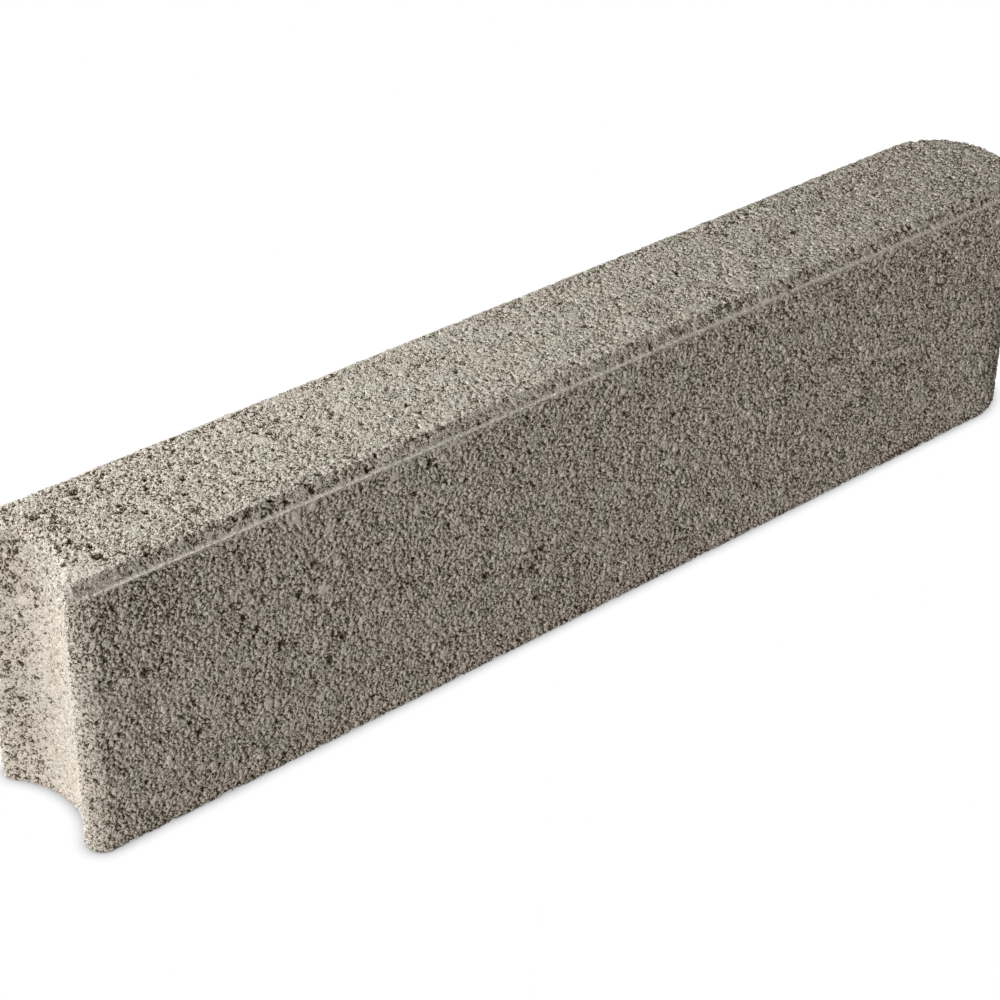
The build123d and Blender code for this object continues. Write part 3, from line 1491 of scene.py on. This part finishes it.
@dataclass
class StoneBase:
    """The flat base with its rounded edge, as a closed slab.

    Attributes:
        plan: The stone's plan.
        cell: Size of the faces.
        tuck: Thickness of the slab.
    """

    plan: StonePlan
    cell: float = 6.0 * MM
    tuck: float = 3.0 * MM

    def build(self) -> bpy.types.Object:
        """Builds the base.

        Returns:
            The closed piece, with its traits on its points.
        """
        plan = self.plan
        radius = plan.base_edge_radius
        foot, inward, worn = plan.foot()
        foot = foot + inward * worn[:, None]
        shell = Shell()
        rings = []
        for level in (plan.low.z, plan.foot_height):
            height = np.full(len(foot), level)
            inset = plan.foot_inset(height)[:, None]
            rings.append(shell.add(np.column_stack([foot + inward * inset, height])))
        lid_line = foot + inward * self.tuck
        lid = shell.add(np.column_stack([lid_line, np.full(len(foot), plan.low.z + self.tuck)]))
        for lower, upper in zip(rings, rings[1:] + [lid]):
            shell.band(lower, upper)
        inner = plan.inner_points(self.cell, radius + 0.5 * self.cell, seed=13)
        points, triangles = shell.fill(foot + inward * radius, inner, upside=False)
        extra = points[len(foot):]
        floor = np.full(len(extra), plan.low.z)
        shell.place(np.concatenate([rings[0], shell.add(np.column_stack([extra, floor]))]), triangles)
        _, triangles = shell.fill(lid_line, np.zeros((0, 2)))
        shell.place(lid, triangles)
        mesh = shell.mesh("stone_base")
        down = np.tile((0.0, 0.0, -1.0), (len(mesh.vertices), 1))
        add_traits(mesh, np.ones(len(down)), down, rings[-1])
        return add_object(mesh)

    def dress(self, finish: bpy.types.Material) -> bpy.types.Object:
        """Builds the piece and gives it the concrete.

        Args:
            finish: The concrete.

        Returns:
            The finished piece.
        """
        piece = self.build()
        piece.data.materials.append(finish)
        return hand_over(piece)


def apply_tree(piece: bpy.types.Object, tree: bpy.types.NodeTree, values: dict[str, object]) -> None:
    """Runs a Geometry Nodes tree on an object and leaves a plain mesh.

    Args:
        piece: The object.
        tree: The tree.
        values: Values of the tree's named inputs.
    """
    modifier = piece.modifiers.new(tree.name, "NODES")
    modifier.node_group = tree
    for socket in tree.interface.items_tree:
        if socket.in_out == "INPUT" and socket.name in values:
            modifier[socket.identifier] = values[socket.name]
    graph = bpy.context.evaluated_depsgraph_get()
    done = piece.evaluated_get(graph)
    mesh = bpy.data.meshes.new_from_object(done, preserve_all_data_layers=True, depsgraph=graph)
    piece.modifiers.remove(modifier)
    piece.data = mesh


def scatter(x_range: tuple[float, float], y_range: tuple[float, float], cell: float,
            seed: int) -> np.ndarray:
    """Scatters points evenly over a rectangle.

    Args:
        x_range: The rectangle's limits in X.
        y_range: The rectangle's limits in Y.
        cell: Distance between the points.
        seed: Seed of their small shifts.

    Returns:
        The points, in rows that are half a cell out of step.
    """
    grid_x, grid_y = np.meshgrid(np.arange(*x_range, cell), np.arange(*y_range, cell * math.sqrt(3) / 2))
    grid_x[1::2] += cell / 2
    grid = np.column_stack([grid_x.ravel(), grid_y.ravel()])
    return grid + np.random.default_rng(seed).uniform(-JITTER, JITTER, grid.shape) * cell


def places(mesh: bpy.types.Mesh) -> np.ndarray:
    """Reads the positions of a mesh's points.

    Args:
        mesh: The mesh.

    Returns:
        A row for each point.
    """
    flat = np.empty(len(mesh.vertices) * 3)
    mesh.vertices.foreach_get("co", flat)
    return flat.reshape(-1, 3)


def speckle(plan: np.ndarray, cell: float) -> np.ndarray:
    """Noise between about -1 and 1 at plan points, with blots about one cell across."""
    return np.array([noise.noise(Vector((x, y, SPECKLE_HEIGHT)) / cell) for x, y in plan])


def near_spots(place: np.ndarray, spots: tuple[Spot, ...]) -> np.ndarray:
    """How far points lie inside some spots.

    Args:
        place: The points, in millimetres.
        spots: The spots.

    Returns:
        A value for each point, 1 well inside a spot and 0 outside all of them.
    """
    inside = np.zeros(len(place))
    for x, y, z, radius in spots:
        gap = np.linalg.norm(place - (x, y, z), axis=1)
        inside = np.maximum(inside, np.clip((SPOT_EDGE * radius - gap) / (SPOT_FADE * radius), 0.0, 1.0))
    return inside


def add_traits(mesh: bpy.types.Mesh, openness: np.ndarray, facing: np.ndarray, held: np.ndarray) -> None:
    """Writes the traits of a skin's points.

    Args:
        mesh: The skin's mesh.
        openness: How open and rough the concrete is, and so how much painted shade its pores get.
        facing: Direction that the smooth skin faces.
        held: Numbers of the points that the relief leaves in place.
    """
    place = places(mesh) / MM
    fixed = np.zeros(len(openness))
    fixed[held] = 1.0
    traits = {Trait.OPENNESS: openness, Trait.PASTE: near_spots(place, FLAT_SPOTS),
              Trait.HOLLOW: near_spots(place, TOP_HOLES + FRONT_HOLES + GROOVE_HOLES), Trait.HELD: fixed}
    for trait, values in traits.items():
        mesh.attributes.new(trait.value, "FLOAT", "POINT").data.foreach_set("value", values)
    normal = mesh.attributes.new(Trait.CAST_NORMAL.value, "FLOAT_VECTOR", "POINT")
    normal.data.foreach_set("vector", facing.ravel())


def add_object(mesh: bpy.types.Mesh) -> bpy.types.Object:
    """Puts a mesh in the scene.

    Args:
        mesh: The mesh.

    Returns:
        The object, which has the mesh's name.
    """
    made = bpy.data.objects.new(mesh.name, mesh)
    bpy.context.scene.collection.objects.link(made)
    return made


def hand_over(piece: bpy.types.Object) -> bpy.types.Object:
    """Puts a finished piece in the place of the CAD stone, and reports it.

    Args:
        piece: The piece.

    Returns:
        The same piece.
    """
    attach(piece, "root")
    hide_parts(NODE)
    LOG.info("%s: %d triangles", piece.name, sum(len(face.vertices) - 2 for face in piece.data.polygons))
    return piece


@dataclass(frozen=True)
class PhotoCamera:
    """A camera placed where the photograph was taken from.

    Attributes:
        image_size: Width and height of the picture in pixels.
        focal_pixels: Focal length in pixels.
        heading: Angle of the view from +Y towards +X.
        pitch: Angle of the view below the horizon.
        roll: Turn of the picture.
        anchor_pixel: Pixel where the middle of the stone shows.
        anchor_depth: Depth of the middle of the stone.
        sensor_width: Width of the sensor in millimetres.
        clip_start: Distance from which things show.
    """

    image_size: float = 1000.0
    focal_pixels: float = 2631.2
    heading: float = math.radians(41.5)
    pitch: float = math.radians(32.27)
    roll: float = math.radians(-0.65)
    anchor_pixel: tuple[float, float] = (569.93, 443.93)
    anchor_depth: float = 939.15 * MM
    sensor_width: float = 36.0
    clip_start: float = 10.0 * MM

    def place(self, anchor: Vector) -> bpy.types.Object:
        """Adds the camera to the scene.

        Args:
            anchor: Middle of the stone.

        Returns:
            The camera.
        """
        ahead = Vector((math.sin(self.heading), math.cos(self.heading), 0.0)) * math.cos(self.pitch)
        ahead.z = -math.sin(self.pitch)
        level = Vector((math.cos(self.heading), -math.sin(self.heading), 0.0))
        plumb = ahead.cross(level)
        right = level * math.cos(self.roll) + plumb * math.sin(self.roll)
        down = plumb * math.cos(self.roll) - level * math.sin(self.roll)
        middle = self.image_size / 2
        slide = right * (self.anchor_pixel[0] - middle) + down * (self.anchor_pixel[1] - middle)
        eye = anchor - (ahead + slide / self.focal_pixels) * self.anchor_depth
        data = bpy.data.cameras.new("camera")
        data.sensor_width = self.sensor_width
        data.lens = self.focal_pixels / self.image_size * self.sensor_width
        data.clip_start = self.clip_start
        camera = bpy.data.objects.new("camera", data)
        turn = Matrix((right, -down, -ahead)).transposed()
        camera.matrix_world = Matrix.Translation(eye) @ turn.to_4x4()
        bpy.context.scene.collection.objects.link(camera)
        bpy.context.scene.camera = camera
        return camera


@dataclass(frozen=True)
class Softbox:
    """A square soft lamp.

    Attributes:
        name: Name of the lamp.
        place: Where it hangs.
        aim: Point that it faces.
        size: Its width.
        power: Its power.
        colour: Colour of its light.
    """

    name: str
    place: tuple[float, float, float]
    aim: tuple[float, float, float]
    size: float
    power: float
    colour: tuple[float, float, float] = (1.0, 1.0, 1.0)

    def add(self) -> None:
        """Adds the lamp to the scene."""
        data = bpy.data.lights.new(self.name, "AREA")
        data.energy = self.power
        data.size = self.size
        data.color = self.colour
        lamp = bpy.data.objects.new(self.name, data)
        lamp.location = self.place
        lamp.rotation_euler = (Vector(self.place) - Vector(self.aim)).to_track_quat("Z", "Y").to_euler()
        bpy.context.scene.collection.objects.link(lamp)


@dataclass(frozen=True)
class FarLight:
    """An even light from far away.

    Attributes:
        name: Name of the light.
        source: Direction that it comes from.
        strength: Brightness of a white face that looks at it.
        spread: How wide its source looks.
        colour: Colour of its light.
    """

    name: str
    source: tuple[float, float, float]
    strength: float
    spread: float = math.radians(30)
    colour: tuple[float, float, float] = (1.0, 1.0, 1.0)

    def add(self) -> None:
        """Adds the light to the scene."""
        data = bpy.data.lights.new(self.name, "SUN")
        data.energy = self.strength * math.pi
        data.angle = self.spread
        data.color = self.colour
        lamp = bpy.data.objects.new(self.name, data)
        lamp.rotation_euler = Vector(self.source).to_track_quat("Z", "Y").to_euler()
        bpy.context.scene.collection.objects.link(lamp)


LAMPS: tuple[Softbox | FarLight, ...] = (
    Softbox("key", place=(-0.42, 0.42, 0.47), aim=(-0.40, 0.10, 0.0), size=0.30, power=5.1,
            colour=(1.0, 0.98, 0.94)),
    FarLight("side", source=(-0.85, -0.42, 0.30), strength=0.65, spread=math.radians(14),
             colour=(1.0, 0.93, 0.90)),
    FarLight("groove_fill", source=(-1.0, 0.05, 0.05), strength=0.16, colour=(0.70, 0.86, 1.0)))


@dataclass(frozen=True)
class Studio:
    """Plain white studio with soft light from the left.

    Attributes:
        fill_strength: Strength of the light from all round.
        fill_colour: Colour of the light from all round.
        floor_size: Width of the floor.
        floor_colour: Colour in which the floor lights the stone.
        painted_shadow_reach: Reach of the painted contact shadow where the stone meets the floor.
        painted_shadow_range: Ambient occlusion of the floor where this painted shadow is darkest, and
            where it ends.
        painted_shadow_tone: Brightness of the painted shadow where it is darkest.
    """

    fill_strength: float = 0.08
    fill_colour: Colour = (1.0, 0.92, 0.78, 1.0)
    floor_size: float = 20.0
    floor_colour: Colour = (0.55, 0.53, 0.51, 1.0)
    painted_shadow_reach: float = 5.0 * MM
    painted_shadow_range: tuple[float, float] = (0.3, 0.9)
    painted_shadow_tone: float = 0.4

    def set_up(self) -> None:
        """Adds the lights, the world and the floor."""
        bpy.context.scene.view_settings.view_transform = "Standard"
        for lamp in LAMPS:
            lamp.add()
        self.add_world()
        self.add_floor()

    @staticmethod
    def seen_directly(kit: NodeKit) -> bpy.types.NodeSocket:
        """Tells rays from the camera, a gloss or a glass from all others.

        Args:
            kit: Nodes of the tree.

        Returns:
            The socket of a value that is 1 for these rays.
        """
        path = kit.add("ShaderNodeLightPath").outputs
        seen = kit.math("ADD", path["Is Camera Ray"], path["Is Glossy Ray"], clamp=True)
        return kit.math("ADD", seen, path["Is Transmission Ray"], clamp=True)

    def add_world(self) -> None:
        """Adds the light from all round, with a white background."""
        world = bpy.data.worlds.new("studio")
        world.use_nodes = True
        bpy.context.scene.world = world
        kit = NodeKit(world.node_tree)
        tree = world.node_tree
        fill = tree.nodes["Background"]
        fill.inputs["Color"].default_value = self.fill_colour
        fill.inputs["Strength"].default_value = self.fill_strength
        white = kit.add("ShaderNodeBackground")
        white.inputs["Color"].default_value = (1.0, 1.0, 1.0, 1.0)
        mix = kit.add("ShaderNodeMixShader")
        kit.feed(mix.inputs[0], self.seen_directly(kit))
        kit.feed(mix.inputs[1], fill.outputs[0])
        kit.feed(mix.inputs[2], white.outputs[0])
        kit.feed(tree.nodes["World Output"].inputs["Surface"], mix.outputs[0])

    def add_floor(self) -> None:
        """Adds the white floor, with a painted contact shadow under the stone where its glow darkens by
        ambient occlusion.
        """
        half = self.floor_size / 2
        mesh = bpy.data.meshes.new("floor")
        corners = [(-half, -half, 0), (half, -half, 0), (half, half, 0), (-half, half, 0)]
        mesh.from_pydata(corners, [], [(0, 1, 2, 3)])
        floor = bpy.data.objects.new("floor", mesh)
        bpy.context.scene.collection.objects.link(floor)
        paper = bpy.data.materials.new("white_floor")
        paper.use_nodes = True
        tree = paper.node_tree
        tree.nodes.remove(tree.nodes["Principled BSDF"])
        kit = NodeKit(tree)
        matt = kit.add("ShaderNodeBsdfDiffuse")
        matt.inputs["Color"].default_value = self.floor_colour
        # Painted contact shadow: the floor's glow, seen directly, darkens where ambient occlusion finds
        # the stone close by
        near = kit.add("ShaderNodeAmbientOcclusion", samples=4)
        near.inputs["Distance"].default_value = self.painted_shadow_reach
        glow = kit.add("ShaderNodeEmission")
        tone = kit.ramp(near.outputs["AO"], *self.painted_shadow_range, to_low=self.painted_shadow_tone, smooth=False)
        kit.feed(glow.inputs["Color"], tone)
        mix = kit.add("ShaderNodeMixShader")
        kit.feed(mix.inputs[0], self.seen_directly(kit))
        kit.feed(mix.inputs[1], matt.outputs[0])
        kit.feed(mix.inputs[2], glow.outputs[0])
        kit.feed(tree.nodes["Material Output"].inputs["Surface"], mix.outputs[0])
        mesh.materials.append(paper)


def panels(plan: StonePlan) -> list[MouldedPanel]:
    """Splits the sides into panels.

    Args:
        plan: The stone's plan.

    Returns:
        The panels, from the front lip round the nose and the back to the groove.
    """
    ring = plan.ring()
    front, nose, back, *_ = (run.length for run in plan.runs())
    ends = np.cumsum((front / 2, front / 2 + nose / 2, back / 2 + nose / 2, back / 2))
    marks = [0, *(2 * round(end / (2 * ring[1])) for end in ends), len(ring)]
    cells = {"front_left": 0.55 * MM, "front_right": 0.55 * MM, "back_right": 0.8 * MM,
             "back_left": 0.8 * MM, "groove": 0.5 * MM}
    made = [MouldedPanel(plan, name, start, end, cell)
            for (name, cell), start, end in zip(cells.items(), marks, marks[1:])]
    groove = made[-1]
    groove.band_openness = SMOOTH_BAND
    return made


def main() -> None:
    """Builds the stone, the studio and the camera."""
    logging.basicConfig(level=logging.INFO)
    plan = StonePlan.from_frame()
    pressed = ConcreteFinish(relief_shade_share=0.45, pore_start=0.30, pore_end=0.46).material()
    moulded = ConcreteFinish(pore_start=0.26, pore_end=0.50).material()
    top_relief = GrainRelief(face_height=0.08 * MM, grain_size=1.8 * MM, grain_height=0.9 * MM,
                             sand_size=0.9 * MM, sand_height=1.1 * MM, bed_depth=0.15 * MM)
    relief = GrainRelief(face_height=0.05 * MM, grain_size=1.4 * MM, grain_height=1.7 * MM,
                         sand_size=0.85 * MM, sand_height=2.2 * MM, bed_depth=0.4 * MM, seed=9.0)
    top_sand = SandGrains(face_height=0.1 * MM)
    sand = SandGrains(face_height=0.05 * MM, large=1.4 * MM)
    pebbles = SandGrains(face_height=0.1 * MM, small=1.5 * MM, large=3.6 * MM, density=8.0e3,
                         openness=0.45, open_range=(0.8, 1.0), sides=8, rings=4, seed=21)
    top = PressedTop(plan).dress(pressed, top_relief)
    top_sand.bed(top, pressed)
    pebbles.bed(top, pressed, "pebbles")
    for panel in panels(plan):
        side = panel.dress(moulded, relief)
        sand.bed(side, moulded)
        pebbles.bed(side, moulded, "pebbles")
    StoneBase(plan).dress(moulded)
    middle = (plan.low + plan.high) / 2
    Studio().set_up()
    PhotoCamera().place(middle)


if __name__ == "__main__":
    main()
